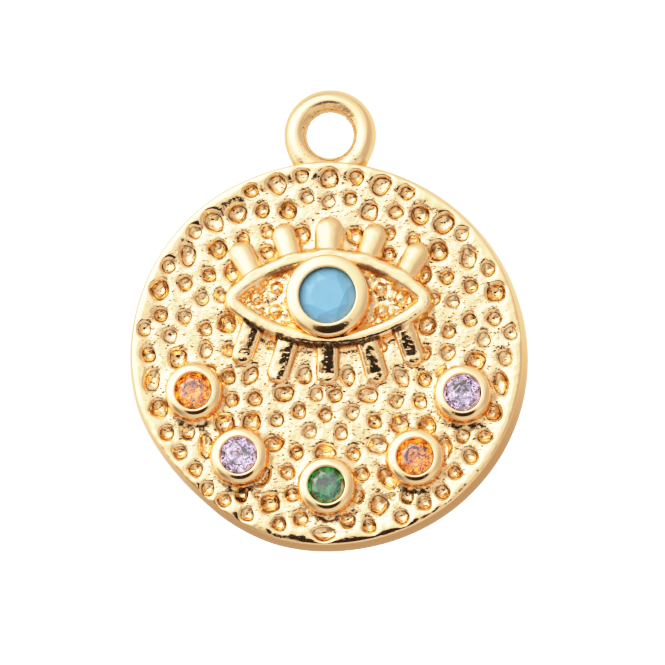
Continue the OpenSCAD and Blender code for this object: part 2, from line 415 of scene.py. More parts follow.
# Beads in the corners of the eye, mirrored: x, y, radius
beadChart = [
    (2.10, 2.70, .27), (2.92, 2.30, .30), (2.16, 1.76, .29), (1.80, 3.22, .16), (1.84, 1.24, .17),
    (3.30, 2.16, .13), (2.56, 3.00, .14), (2.62, 1.60, .14), (1.66, 2.24, .12), (2.52, 2.36, .12),
]


def outlineRadius(angle):
    # clock angle in radians, read round the table with a smooth closed curve
    rows = disc["outline"]
    places = np.radians([row[0] for row in rows])
    radii = np.array([row[1] for row in rows])
    count = len(rows)
    angle = np.mod(angle, 2 * np.pi)
    start = np.searchsorted(places, angle, side="right") - 1
    width = np.mod(places[(start + 1) % count] - places[start], 2 * np.pi)
    t = np.mod(angle - places[start], 2 * np.pi) / width
    before, here, after, later = (radii[(start + k) % count] for k in (-1, 0, 1, 2))
    return here + 0.5 * t * (after - before + t * (2 * before - 5 * here + 4 * after - later
                                                 + t * (3 * (here - after) + later - before)))


def clockAngle(points):
    return np.arctan2(points[:, 0], points[:, 1])


def nearClock(angle, middle, spread):
    # 1 at a clock angle in degrees, fading out to both sides of it
    turned = np.degrees(np.abs(np.mod(angle - math.radians(middle) + np.pi, 2 * np.pi) - np.pi))
    return np.exp(-(turned / spread) ** 2)


def creasePlace(angle):
    # distance in from the outline to the crease
    deeper = nearClock(angle, disc["deeperAt"], disc["deeperSpread"])
    return disc["creaseInset"] + disc["creaseDeeper"] * deeper


def rimHeight(inset, angle):
    # height of the rim's crown at a distance in from the outline
    wide = 1 + disc["wider"] * nearClock(angle, disc["wideAt"], disc["wideSpread"])
    away = inset - creasePlace(angle) - (disc["crestInset"] - disc["creaseInset"]) * wide
    crown = np.where(away > 0, disc["innerCrown"], disc["outerCrown"] * wide)
    rise = disc["rimRise"] - away ** 2 / (2 * crown)
    return disc["fieldHeight"] + np.maximum(rise, -1)  # no lower than it needs to be under the field


def mirrored(chart):
    rows = []
    for row in chart:
        rows.append(row)
        if row[0] > 0:
            rows.append((-row[0], *row[1:]))
    return rows


def castDents():
    # the charted dents, each a little off, as a casting has them
    draw = random.Random(dents["seed"])
    stray = -dents["stray"], dents["stray"]
    made = []
    for x, y, halfWidth, halfLength, turn in dentChart:
        for side in ([1] if x == 0 else [1, -1]):
            made.append({
                "x": side * x + dents["offCentre"] + draw.uniform(*stray),
                "y": y - side * dents["lean"] + draw.uniform(*stray),
                "short": halfWidth * draw.uniform(*dents["sizes"]),
                "long": halfLength * draw.uniform(*dents["sizes"]),
                "turn": math.radians(turn if side == 1 else 180 - turn),
                "depth": halfWidth * dents["depth"] * draw.uniform(*dents["depths"]),
                "pit": halfWidth * dents["pitDepth"] * draw.uniform(*dents["pits"]),
                "pitEdge": dents["pitEdge"] * draw.uniform(*dents["pitEdges"]),
                "lobes": [
                    (draw.uniform(0, 6.28), dents["wobble"] * draw.uniform(*dents["wobbles"]))
                    for _ in range(3)
                ],
            })
    return made


dentList = castDents()


def dentShare(dent, points):
    # distance from the dent's middle, as a share of its edge in that direction
    dx, dy = points[:, 0] - dent["x"], points[:, 1] - dent["y"]
    c, s = math.cos(dent["turn"]), math.sin(dent["turn"])
    u = (dx * c + dy * s) / dent["long"]
    v = (-dx * s + dy * c) / dent["short"]
    angle = np.arctan2(v, u)
    wobble = sum(size * np.cos((k + 2) * angle + phase) for k, (phase, size) in enumerate(dent["lobes"]))
    return np.hypot(u, v) / (1 + wobble)


def eyeAxis(x):
    # the line through the corners, which lie a little lower than the stone's middle
    return eye["y"] - eye["cornerDrop"] * (x / eye["halfWidth"]) ** 2


def lidForm():
    # radius of the lid's two arcs, how far from the axis each is struck, and where the round corners lie
    arc = (eye["halfWidth"] ** 2 + eye["rise"] ** 2) / (2 * eye["rise"])
    centre = arc - eye["rise"]
    return arc, centre, math.sqrt((arc - eye["cornerRound"]) ** 2 - centre ** 2)


def lidDistance(points):
    # from the lid's middle line: two arcs, joined by round corners
    arc, centre, corner = lidForm()
    side, up = np.abs(points[:, 0]), np.abs(points[:, 1] - eyeAxis(points[:, 0]))
    pastArc = (up + centre) * corner < side * centre
    fromCorner = np.hypot(side - corner, up) - eye["cornerRound"]
    return np.abs(np.where(pastArc, fromCorner, np.hypot(side, up + centre) - arc))


def insideEye(points):
    arc, centre, _ = lidForm()
    up = np.abs(points[:, 1] - eyeAxis(points[:, 0]))
    return np.hypot(points[:, 0], up + centre) < arc


def lashShare(lash, points):
    # distance from a lash's middle line, how far along it, and its half width there
    root, tip = np.array(lash[:2]), np.array(lash[2:4])
    along = tip - root
    t = np.clip(((points - root) @ along) / (along @ along), 0, 1)
    away = np.hypot(*(points - root - t[:, None] * along).T)
    return away, t, lash[4] + (lash[5] - lash[4]) * t


lashList = lashChart + [
    (-x, y, -tipX, tipY, wide, thin) for x, y, tipX, tipY, wide, thin in lashChart if x > 0
]
beadList = mirrored(beadChart)
settings = [
    {"stone": stones[name], **bezels["eye" if name == "eye_stone" else "small"]} for name in stones
]


def fromBezel(setting, points):
    # distance from the foot of a bezel's wall
    stone = setting["stone"]
    return np.hypot(points[:, 0] - stone["x"], points[:, 1] - stone["y"]) - setting["radius"]


def uneven(points, part):
    return sum(strength * grain(points, size, seed) for strength, size, seed in unevenness[part])


def blankHeight(points):
    # the field and the rim, before the dents and the eye
    inset = outlineRadius(clockAngle(points)) - np.hypot(*points.T)
    rim = rimHeight(inset, clockAngle(points)) + uneven(points, "rim")
    return softMax(disc["fieldHeight"] + uneven(points, "field"), rim, disc["rimBlend"])


def faceHeight(points):
    # height of the cast front at each point, without the bezels
    height = blankHeight(points)
    fromLid, outside = lidDistance(points), ~insideEye(points)
    within = ~outside & (fromLid > eye["floorFrom"])
    height = np.where(within, eye["floor"] + uneven(points, "eyeFloor"), height)
    levels = blankHeight(np.array([(dent["x"], dent["y"]) for dent in dentList]))
    for dent, level in zip(dentList, levels):
        near = np.hypot(points[:, 0] - dent["x"], points[:, 1] - dent["y"]) < dents["reach"] * dent["long"]
        share = dentShare(dent, points[near])
        pitEdge, soft = dent["pitEdge"], dents["pitSoft"]
        pit = dent["pit"] * smoothStep(pitEdge + soft, pitEdge - soft, share)
        bowl = level + dent["depth"] * (share ** dents["steepness"] - 1) - pit
        rough = uneven(points[near], "dent") * smoothStep(*dents["roughTo"], share)
        height[near] = softMin(height[near], bowl + rough, dents["lipBlend"])
    for x, y, radius in beadList:
        away = np.hypot(points[:, 0] - x, points[:, 1] - y)
        near = away < radius
        dome = np.sqrt(np.maximum(radius ** 2 - away[near] ** 2, 0))
        height[near] = softMax(height[near], disc["fieldHeight"] + dome, eye["lidBlend"])
    ragged = 1 + uneven(points, "skirt")
    for setting in settings:
        away = np.maximum(fromBezel(setting, points), 0)
        height += skirts["bezel"] * ragged * np.exp(-away / skirts["reach"])
    fromFoot = np.maximum(fromLid - eye["lidHalf"], 0)
    height += skirts["lid"] * ragged * np.exp(-fromFoot / skirts["reach"]) * outside
    worn = uneven(points, "ridge")
    joint = np.zeros(len(points))  # the upper lashes run softly into the lid
    for lash in lashList:
        away, t, half = lashShare(lash, points)
        near = away < lashes["reach"] * half
        kind = lashes["upper" if lash[3] > eye["y"] else "lower"]
        top = kind["root"] + (kind["tip"] - kind["root"]) * t[near] ** lashes["droop"]
        form = ridge(away[near], half[near], top, kind["crown"], kind["shoulder"])
        form = disc["fieldHeight"] + form + kind["rough"] * worn[near]
        height[near] = softMax(height[near], form, kind["fillet"])
        joint += kind["joint"] * smoothStep(*lashes["jointSide"], away - half)
    joint *= smoothStep(*lashes["jointStart"], fromLid) * outside
    lid = disc["fieldHeight"] + ridge(fromLid, eye["lidHalf"], eye["lidHeight"], eye["lidCrown"])
    return softMax(height, lid + worn, eye["lidBlend"] + joint)


# Points of the dented sheet: rings round each dent, lines along each ridge, a scatter between

sheet = {
    "scatter": 0.075,
    "scatterReach": 8.27,
    "scatterOff": 0.22,  # how far a point may stray, as a share of the step
    "scatterClosest": 0.62,  # as a share of the step too
    "dentStep": 0.075,
    "dentShares": [0.22, 0.42, 0.6, 0.74, 0.85, 0.93, 1.0, 1.07, 1.16, 1.3],
    "ridgeStep": 0.07,
    "ridgeShares": [0, 0.3, 0.52, 0.7, 0.83, 0.92, 0.98, 1.04, 1.12, 1.25, 1.42, 1.62],
    "ridgeFoot": 1.02,  # a dent's rings stop here
    "beadStep": 0.05,
    "beadShares": [0.01, 0.35, 0.65, 0.85, 0.97, 1.08],
    "beadClosest": 0.028,
    "collars": [0.035, 0.08, 0.14, 0.21, 0.3],  # mm out from a bezel
    "collarCount": 110,
    "closest": 0.030,
    "margin": 0.02,  # kept free along the crease and the bezels
    "seed": 11,
}


def ring(x, y, radius, count):
    angles = np.arange(count) * 2 * np.pi / count
    return np.stack([x + radius * np.sin(angles), y + radius * np.cos(angles)], axis=1)


def dentRings(dent):
    rows = [np.array([[dent["x"], dent["y"]]])]
    c, s = math.cos(dent["turn"]), math.sin(dent["turn"])
    for share in sheet["dentShares"]:
        count = max(6, round(2 * math.pi * dent["long"] * share / sheet["dentStep"]))
        angle = (np.arange(count) + 0.5 * (len(rows) % 2)) * 2 * np.pi / count
        reach = share * (1 + sum(size * np.cos((k + 2) * angle + phase)
                                 for k, (phase, size) in enumerate(dent["lobes"])))
        u, v = reach * dent["long"] * np.cos(angle), reach * dent["short"] * np.sin(angle)
        rows.append(np.stack([dent["x"] + u * c - v * s, dent["y"] + u * s + v * c], axis=1))
    return np.concatenate(rows)


def lidLines():
    arc, centre, corner = lidForm()
    reach = math.atan2(corner, centre)
    rows = []
    for share in sheet["ridgeShares"]:
        for side in ([0] if share == 0 else [-1, 1]):
            out = side * share * eye["lidHalf"]
            angle = np.arange(-reach, reach, sheet["ridgeStep"] / arc)
            x, up = (arc + out) * np.sin(angle), (arc + out) * np.cos(angle) - centre
            bend = eye["cornerRound"] + out
            if bend > 0.05:  # a tighter bend has no room for points
                turn = np.arange(0, np.pi / 2 - reach, sheet["ridgeStep"] / bend)
                past = corner + bend * np.cos(turn)
                x = np.concatenate([x, past, -past])
                up = np.concatenate([up, bend * np.sin(turn), bend * np.sin(turn)])
            keep = up > -0.01
            for flip in (1, -1):
                rows.append(np.stack([x[keep], eyeAxis(x[keep]) + flip * up[keep]], axis=1))
    return np.concatenate(rows)


def lashLines(lash):
    root, tip = np.array(lash[:2]), np.array(lash[2:4])
    along = (tip - root) / np.hypot(*(tip - root))
    across = np.array([-along[1], along[0]])
    length = np.hypot(*(tip - root))
    rows = []
    for share in sheet["ridgeShares"]:
        t = np.arange(0, length, sheet["ridgeStep"])
        half = lash[4] + (lash[5] - lash[4]) * t / length
        for side in ([0] if share == 0 else [-1, 1]):
            rows.append(root + t[:, None] * along + side * share * half[:, None] * across)
        if share:
            turn = np.arange(-np.pi / 2, np.pi / 2, sheet["ridgeStep"] / (share * lash[5] + 0.02))
            radius = share * lash[5]
            rows.append(tip + radius * (np.cos(turn)[:, None] * along + np.sin(turn)[:, None] * across))
    return np.concatenate(rows)


def scatterPoints():
    step = sheet["scatter"]
    draw = np.random.default_rng(sheet["seed"])
    reach, off = sheet["scatterReach"], sheet["scatterOff"]
    x, y = np.meshgrid(np.arange(-reach, reach, step), np.arange(-reach, reach, step * 0.866))
    x = x + 0.5 * step * (np.arange(len(x)) % 2)[:, None]
    points = np.stack([x.ravel(), y.ravel()], axis=1)
    return points + draw.uniform(-off, off, points.shape) * step


def keepApart(kept, more, gap):
    # the new points that stand at least a gap away from those kept and from each other
    tree = kdtree.KDTree(len(kept))
    for i, (x, y) in enumerate(kept):
        tree.insert((x, y, 0), i)
    tree.balance()
    cells, out = {}, []
    for x, y in more:
        if tree.find((x, y, 0))[2] < gap:
            continue
        cell = (int(x // gap), int(y // gap))
        near = [cells.get((cell[0] + i, cell[1] + j)) for i in (-1, 0, 1) for j in (-1, 0, 1)]
        if any(p is not None and math.hypot(p[0] - x, p[1] - y) < gap for p in near):
            continue
        cells[cell] = (x, y)
        out.append((x, y))
    return np.concatenate([kept, np.array(out)]) if out else kept


def onRidge(points):
    # on the lid or a lash
    on = lidDistance(points) < sheet["ridgeFoot"] * eye["lidHalf"]
    for lash in lashList:
        away, _, half = lashShare(lash, points)
        on |= away < sheet["ridgeFoot"] * half
    return on


def sheetPoints(edge, holes):
    kept = np.concatenate([edge, *holes])
    collars = [
        ring(setting["stone"]["x"], setting["stone"]["y"], setting["radius"] + out, sheet["collarCount"])
        for setting in settings for out in sheet["collars"]
    ]
    kept = keepApart(kept, np.concatenate(collars), sheet["closest"])
    lines = np.concatenate([lidLines(), *[lashLines(lash) for lash in lashList]])
    kept = keepApart(kept, lines, sheet["closest"])
    for dent in dentList:
        rings = dentRings(dent)
        kept = keepApart(kept, rings[~onRidge(rings)], sheet["closest"])
    beadRings = [
        ring(x, y, radius * share, max(6, round(6.28 * radius * share / sheet["beadStep"])))
        for x, y, radius in beadList for share in sheet["beadShares"]
    ]
    kept = keepApart(kept, np.concatenate(beadRings), sheet["beadClosest"])
    kept = keepApart(kept, scatterPoints(), sheet["scatter"] * sheet["scatterClosest"])
    inset = outlineRadius(clockAngle(kept)) - np.hypot(*kept.T)
    clear = inset > creasePlace(clockAngle(kept)) + sheet["margin"]
    for setting in settings:
        clear &= fromBezel(setting, kept) > sheet["margin"]
    fixed = len(edge) + sum(len(hole) for hole in holes)
    clear[:fixed] = True
    return kept[clear]


class MeshParts:
    # vertices and faces gathered from several makers that share rings of points
    def __init__(self):
        self.points = []
        self.faces = []

    def add(self, points):
        first = len(self.points)
        self.points.extend(map(tuple, points))
        return list(range(first, len(self.points)))

    def bridge(self, lower, upper):
        count = len(lower)
        for i in range(count):
            j = (i + 1) % count
            self.faces.append((lower[i], lower[j], upper[j], upper[i]))

    def fan(self, rim, tip):
        for i in range(len(rim)):
            self.faces.append((rim[i], rim[(i + 1) % len(rim)], tip))


def makeSheet(parts):
    angles = np.arange(disc["around"]) * 2 * np.pi / disc["around"]
    radii = outlineRadius(angles) - creasePlace(angles)
    edge = np.stack([radii * np.sin(angles), radii * np.cos(angles)], axis=1)
    holes = [ring(s["stone"]["x"], s["stone"]["y"], s["radius"], s["around"]) for s in settings]
    points = sheetPoints(edge, holes)
    loops, first = [], 0
    for group in [edge, *holes]:
        loops.append(list(range(first, first + len(group))))
        first += len(group)
    constraints = [(group[i], group[(i + 1) % len(group)]) for group in loops for i in range(len(group))]
    flat, _, faces, origins, _, _ = delaunay_2d_cdt([Vector(p) for p in points], constraints, [], 0, 1e-6)
    flat = np.array([tuple(p) for p in flat])
    index = parts.add(np.column_stack([flat, faceHeight(flat)]))
    whose = np.full(len(points), -1)
    for k, group in enumerate(loops):
        whose[group] = k
    for face in faces:
        corners = sorted(origins[k][0] for k in face)
        owner = whose[corners[0]]
        alike = owner >= 0 and all(whose[k] == owner for k in corners)
        a, b, c = (points[k] for k in corners)
        turn = (b[0] - a[0]) * (c[1] - a[1]) - (b[1] - a[1]) * (c[0] - a[0])
        if alike and (owner > 0 or turn > 0):  # across a bezel's hole, or outside the disc
            continue
        order = corners if turn > 0 else corners[::-1]
        parts.faces.append(tuple(index[k] for k in order))
    return [[index[k] for k in group] for group in loops]


def makeEdge(parts, edge):
    # from the sheet's edge round the crease, down the leaning side and across the back
    angles = np.arange(disc["around"]) * 2 * np.pi / disc["around"]
    outer = outlineRadius(angles)
    backEdge, turn = disc["backEdge"], disc["creaseRound"]
    start = math.atan((disc["crestInset"] - disc["creaseInset"]) / disc["outerCrown"])
    end = math.radians(disc["creaseTilt"])
    top = np.array([parts.points[i][2] for i in edge])
    rows = []
    for tilt in np.linspace(start, end, disc["creaseSteps"])[1:]:
        inset = creasePlace(angles) - turn * (math.sin(tilt) - math.sin(start))
        rows.append((inset, top - turn * (math.cos(start) - math.cos(tilt))))
    inset, sideTop = rows[-1]
    for share in disc["sideShares"]:
        rows.append((inset * (1 - share) ** disc["sideBend"], sideTop + (disc["sideFoot"] - sideTop) * share))
    for angle in np.linspace(0, math.pi / 2, disc["backSteps"]):
        rows.append((backEdge * (1 - math.cos(angle)), backEdge * (1 - math.sin(angle))))
    for inset in disc["backRings"]:
        rows.append((inset, 0))
    last = edge
    for inset, z in rows:
        radius = outer - inset
        fresh = parts.add(np.column_stack([radius * np.sin(angles), radius * np.cos(angles), z + 0 * angles]))
        parts.bridge(last, fresh)
        last = fresh
    middle = parts.add([(0, 0, 0)])[0]
    parts.fan(last, middle)


def girdleHeight(stone):
    # where the cut stone is widest
    return stone["top"] - stone["radius"] * cut["crownShare"] * math.tan(math.radians(cut["crownAngle"]))


def arcRows(centre, radius, tilts):
    # distances out and heights along an arc, by tilt from straight up
    return [(centre[0] + radius * math.sin(tilt), centre[1] + radius * math.cos(tilt)) for tilt in tilts]


def makeBezel(parts, hole, setting):
    # a domed collar: the wall, its rounding, a low crown, and the lip over the stone
    stone, crown, rounding = setting["stone"], setting["crown"], setting["round"]
    lipRound = bezels["lipRound"]
    opening = stone["radius"] - bezels["lip"]
    top = stone["top"] + bezels["overTop"]
    crest = opening + lipRound
    start, joint = math.radians(setting["crestTilt"]), math.radians(setting["crownTilt"])
    centre = crest - crown * math.sin(start), top - crown * math.cos(start)
    middle = arcRows(centre, crown - rounding, [joint])[0]
    turns = np.linspace(bezels["wallTilt"], setting["crownTilt"], bezels["roundSteps"])
    dome = arcRows(middle, rounding, np.radians(turns))
    dome += arcRows(centre, crown, np.linspace(joint, start, bezels["crownSteps"])[1:])
    dome += arcRows((crest, top - lipRound), lipRound, -np.radians(bezels["lipTurns"]))
    foot = (setting["radius"], disc["fieldHeight"] + bezels["footRise"])
    rows = [
        tuple(low + (high - low) * share for low, high in zip(foot, dome[0]))
        for share in bezels["wallShares"]
    ]
    rows += dome
    girdle = girdleHeight(stone)
    ledge = girdle - bezels["ledgeDrop"]
    wall = stone["radius"] + bezels["gap"]
    rows.append((opening, girdle + bezels["gap"] + bezels["lipSlope"]))
    rows.append((wall, girdle + bezels["gap"]))
    rows.append((wall, ledge))
    rows.append((wall / 2, (ledge + stone["bottom"] - bezels["coneDrop"]) / 2))
    last = hole
    for ringRadius, z in rows:
        flat = ring(stone["x"], stone["y"], ringRadius, setting["around"])
        fresh = parts.add(np.column_stack([flat, np.full(len(flat), z)]))
        parts.bridge(fresh, last)
        last = fresh
    bottom = parts.add([(stone["x"], stone["y"], stone["bottom"] - bezels["seatDrop"])])[0]
    parts.fan(last[::-1], bottom)


def newObject(name, points, faces):
    mesh = bpy.data.meshes.new(name)
    mesh.from_pydata([tuple(c * millimetre for c in p) for p in points], [], faces)
    mesh.validate()
    piece = bpy.data.objects.new(name, mesh)
    scene.collection.objects.link(piece)
    return piece


def makeLoop():
    # a round bar bent to a ring, left rough where it faces the hole
    parts = MeshParts()
    half = loop["thickness"] / 2
    centre = loop["holeRadius"] + loop["wall"] / 2
    along, across = loop["roughMarks"]
    rings = []
    for i in range(loop["steps"]):
        around = i * 2 * math.pi / loop["steps"]
        neck = loop["neckWider"] * smoothStep(*loop["neckFrom"], abs(math.remainder(around, 2 * math.pi)))
        above = smoothStep(*loop["roughAbove"], math.cos(around))
        points = []
        for k in range(loop["section"]):
            angle = 2 * math.pi * k / loop["section"]
            out = math.cos(angle)
            bump = noise.noise(Vector((along * math.sin(around), along * math.cos(around), across * angle)))
            rough = loop["rough"] * bump * smoothStep(*loop["roughInside"], out) * above
            radius = centre + (loop["wall"] / 2 + rough) * out + neck * max(out, 0)
            z = loop["middleHeight"] + half * math.sin(angle)
            points.append((loop["x"] + radius * math.sin(around), loop["y"] + radius * math.cos(around), z))
        rings.append(parts.add(points))
    for i in range(len(rings)):
        parts.bridge(rings[i], rings[(i + 1) % len(rings)])
    return newObject("loop", parts.points, parts.faces)


def joinSolids(body, other):
    joint = body.modifiers.new("join", "BOOLEAN")
    joint.operation = "UNION"
    joint.solver = "MANIFOLD"
    joint.object = other
    evaluated = body.evaluated_get(bpy.context.evaluated_depsgraph_get())
    joined = bpy.data.meshes.new_from_object(evaluated)
    body.modifiers.clear()
    body.data = joined
    bpy.data.objects.remove(other)


def makeMedallion():
    parts = MeshParts()
    loops = makeSheet(parts)
    makeEdge(parts, loops[0])
    for hole, setting in zip(loops[1:], settings):
        makeBezel(parts, hole, setting)
    body = newObject("cast_medallion", parts.points, parts.faces)
    print("sheet, edge and bezels ready:", len(body.data.vertices), "points")
    joinSolids(body, makeLoop())
    body.data.name = "cast_medallion"
    body.data.shade_smooth()
    body.data.set_sharp_from_angle(angle=math.radians(50))
    print("medallion ready:", len(body.data.polygons), "faces")
    return body


medallion = makeMedallion()


# Gold plate

goldLook = {
    "polished": (0.98, 0.60, 0.30, 1),
    "cast": (0.97, 0.61, 0.32, 1),
    # the brown of the painted shade, which also darkens the small pits
    "shadeAndPitBrown": (0.04, 0.017, 0.005, 1),
    "grazing": (1.0, 0.86, 0.70, 1),
    "patchSize": 1.2,  # mm
    "patchSpread": 0.8,
    "patchLeast": 0.4,
    "grainSize": 0.17,
    "fineSize": 0.05,
    "fineShare": 0.2,
    "grainDepth": 0.018,
    "polishedGrain": 0.06,  # what the polish left of it
    "fleckSize": 0.09,  # small dark pits, longer from left to right
    "fleckStretch": (0.45, 1, 1),
    "fleckShare": 0.63,
    "fleckDepth": 10.0,
    "polishedRoughness": 0.09,
    "castRoughness": 0.10,
    "satinRoughness": 0.30,
    "patchRoughness": 0.05,
    "brownRoughness": 0.1,
}

# Where the casting kept its rough skin; each pair is a fade from 0 to 1, in mm
castSkin = {
    "inset": (0.45, 0.8),  # from the disc's outline
    "height": (0.7, 0.9),
    "lid": (-0.04, 0.05),  # from the feet of the lid, the lashes and the bezels
    "lash": (-0.05, 0.05),
    "bezel": (-0.02, 0.06),
    "lowerLashes": 0.27,  # how much of it the lower lashes kept
    "neck": (-0.5, -1.1),  # from the middle of the loop's hole, upwards
    "neckShare": 0.5,
    "hole": (0.38, 0.1),  # from the hole's wall
    "holeShare": 0.9,
}

# Where the shine is softer
satinSkin = {
    "upper": (-0.9, 0.6),  # from the eye's middle, upwards
    "upperShare": 0.6,
    "collar": (0.02, -0.04),  # from the same feet
    "lid": (0.04, -0.04),
    "lash": (0.02, -0.06),
    "loopShare": 0.45,
}


def beyondOutline(flat):
    return np.hypot(*flat.T) - outlineRadius(clockAngle(flat))


def onLoop(flat):
    # 1 outside the disc's outline, where only the loop lies
    return smoothStep(*loop["beyond"], beyondOutline(flat))


def fromHole(flat):
    # distance from the wall of the loop's hole
    return np.hypot(flat[:, 0] - loop["x"], flat[:, 1] - loop["y"]) - loop["holeRadius"]


def castShare(points):
    # 1 where the cast skin was left rough, 0 where the ridges, rims and collars were polished
    flat, z = points[:, :2], points[:, 2]
    share = smoothStep(*castSkin["inset"], -beyondOutline(flat)) * smoothStep(*castSkin["height"], z)
    share *= smoothStep(*castSkin["lid"], lidDistance(flat) - eye["lidHalf"])
    for lash in lashList:
        away, _, half = lashShare(lash, flat)
        left = castSkin["lowerLashes"] * (lash[3] < eye["y"])
        share *= left + (1 - left) * smoothStep(*castSkin["lash"], away - half)
    for setting in settings:
        share *= smoothStep(*castSkin["bezel"], fromBezel(setting, flat))
    neck = castSkin["neckShare"] * smoothStep(*castSkin["neck"], flat[:, 1] - loop["y"])
    wall = castSkin["holeShare"] * smoothStep(*castSkin["hole"], fromHole(flat))
    return np.maximum(share, onLoop(flat) * np.maximum(neck, wall))


def satinShare(points):
    # the loop, the upper lashes, and the upper sides of the lid and of the eye's collar
    flat = points[:, :2]
    upper = satinSkin["upperShare"] * smoothStep(*satinSkin["upper"], flat[:, 1] - eye["y"])
    fromStone = np.hypot(flat[:, 0], flat[:, 1] - eye["y"])
    collar = smoothStep(*satinSkin["collar"], fromStone - bezels["eye"]["radius"])
    lid = smoothStep(*satinSkin["lid"], lidDistance(flat) - eye["lidHalf"])
    share = np.maximum(upper * np.maximum(collar, lid), satinSkin["loopShare"] * onLoop(flat))
    for lash in lashList:
        away, _, half = lashShare(lash, flat)
        if lash[3] > eye["y"]:
            share = np.maximum(share, (1 - lid) * smoothStep(*satinSkin["lash"], away - half))
    return share


# Painted shade: dark brown painted where shade falls, in rings and blotches in the dents (darkest on one
# side), at the feet of the ridges and bezels, under the lid and the bezels and in the loop's hole; the same
# brown darkens the small pits. Strengths are shares of the full brown, and each pair but the direction is a
# fade from 0 to 1
paintedShadeAndPits = {
    "lowest": 0.8,  # mm above the back, where the brown ends
    "dentEdge": 0.84,  # share of the dent's half width
    "dentSpread": 0.09,
    "dentMost": 1.6,  # between the dents the measure stops here
    "dentNear": 1.7,  # half lengths out from a dent that it reaches
    "dentOver": 0.1,  # mm above the field, where a ridge or a collar covers a dent
    "dentGrain": 0.12,  # mm, as are the other sizes of marks
    "dentWander": 0.2,  # how unevenly the rings run, in shares of the half width
    "dentMottle": 0.3,
    "ringLeast": 0.3,
    "shade": 0.25,
    "shadeWay": (0.75, -0.66),  # the rings are darkest on this side
    "blotches": 0.35,
    "blotchSize": 0.11,
    "blotchShare": 0.57,
    "blotchSharp": 12.0,
    "blotchEdge": 0.9,
    "blotchFade": 0.125,
    "pits": 0.9,
    "mottle": 0.06,
    "mottleLeast": 0.6,
    "footSpread": 0.05,  # mm to each side of a ridge's foot
    "footRise": 0.3,  # mm above the field
    "foot": 0.1,
    "underLid": 0.85,
    "underReach": 0.11,
    "underShift": 0.08,  # more of it lies on the lid's wall than on the field
    "underSpan": 1.8,
    "rootSpan": 1.1,  # and this much wider at the lashes' roots
    "rootFade": (0.12, -0.1),
    "innerLid": 0.8,
    "innerSpan": 2.2,
    "innerGap": 0.04,  # out from the eye's bezel
    "spanFade": 0.3,
    "underBezel": 0.9,
    "bezelRise": 0.15,
    "bezelReach": (0.32, 0.22),
    "bezelStart": (0, 0.08),
    "bezelWay": (0.8, 0.95),  # straight down is 1
    "bezelGaps": (-0.2, 0.1),
    "holeWall": 0.25,
    "holeWallFade": (0.12, 0.05),
    "holeTop": 0.6,
    "holeTopFade": (0.38, 0.2),
    "holeTopFrom": (0.2, 0.8),  # height above the hole's middle, as a share of its radius
    "holeMost": 1.2,
}


def dentEdges(points):
    # distance from the nearest dent's middle as a share of its edge, up to a fixed most between the dents,
    # and how far the point lies to the shaded side of that dent
    flat, z, most = points[:, :2], points[:, 2], paintedShadeAndPits["dentMost"]
    share, side = np.full(len(points), most), np.zeros(len(points))
    for dent in dentList:
        away = flat - (dent["x"], dent["y"])
        near = np.hypot(*away.T) < paintedShadeAndPits["dentNear"] * dent["long"]
        out = np.full(len(points), most)
        out[near] = dentShare(dent, flat[near])
        closer = out < share
        share[closer] = out[closer]
        side[closer] = (away[closer] @ paintedShadeAndPits["shadeWay"]) / (np.hypot(*away[closer].T) + 0.02)
    over = z - blankHeight(flat) > paintedShadeAndPits["dentOver"]  # ridges and collars stand over some
    return np.where(over | (z < paintedShadeAndPits["lowest"]), most, share), side


def underBezels(flat):
    # painted shadow: dark patches on the field just below each bezel
    patches = np.zeros(len(flat))
    for setting in settings:
        out = fromBezel(setting, flat)
        down = (setting["stone"]["y"] - flat[:, 1]) / (out + setting["radius"] + 0.001)
        band = smoothStep(*paintedShadeAndPits["bezelStart"], out) * smoothStep(*paintedShadeAndPits["bezelReach"], out)
        patches = np.maximum(patches, band * smoothStep(*paintedShadeAndPits["bezelWay"], down))
    return patches * smoothStep(*paintedShadeAndPits["bezelGaps"], uneven(flat, "underBezel"))


def underLid(flat):
    # painted shade: a dark, ragged band under the lid outside, and under its upper arc inside, beyond the
    # eye's bezel
    fromLid = lidDistance(flat) - eye["lidHalf"]
    ragged = fromLid + paintedShadeAndPits["underShift"] + uneven(flat, "underLid")
    band = smoothStep(paintedShadeAndPits["underReach"], 0.7 * paintedShadeAndPits["underReach"], np.abs(ragged))
    below = (flat[:, 1] < eye["y"]) * ~insideEye(flat)
    within = (flat[:, 1] > eye["y"]) * insideEye(flat) * paintedShadeAndPits["innerLid"]
    fromStone = np.hypot(flat[:, 0], flat[:, 1] - eye["y"])
    within *= fromStone > bezels["eye"]["radius"] + paintedShadeAndPits["innerGap"]
    lower = [lash for lash in lashList if lash[3] < eye["y"]]
    roots = np.min([away - half for away, _, half in (lashShare(lash, flat) for lash in lower)], axis=0)
    across = np.abs(flat[:, 0]) - np.maximum(uneven(flat, "underSpan"), 0)
    across -= paintedShadeAndPits["rootSpan"] * smoothStep(*paintedShadeAndPits["rootFade"], roots)

    def span(reach):
        return smoothStep(reach + paintedShadeAndPits["spanFade"], reach, across)

    return band * np.maximum(below * span(paintedShadeAndPits["underSpan"]), within * span(paintedShadeAndPits["innerSpan"]))


def inHole(flat):
    # painted shade on the wall of the loop's hole, and on the loop above it
    upper = smoothStep(*paintedShadeAndPits["holeTopFrom"], (flat[:, 1] - loop["y"]) / loop["holeRadius"])
    above = paintedShadeAndPits["holeTop"] * upper * smoothStep(*paintedShadeAndPits["holeTopFade"], fromHole(flat))
    wall = smoothStep(*paintedShadeAndPits["holeWallFade"], fromHole(flat))
    return np.minimum(wall + above, paintedShadeAndPits["holeMost"])


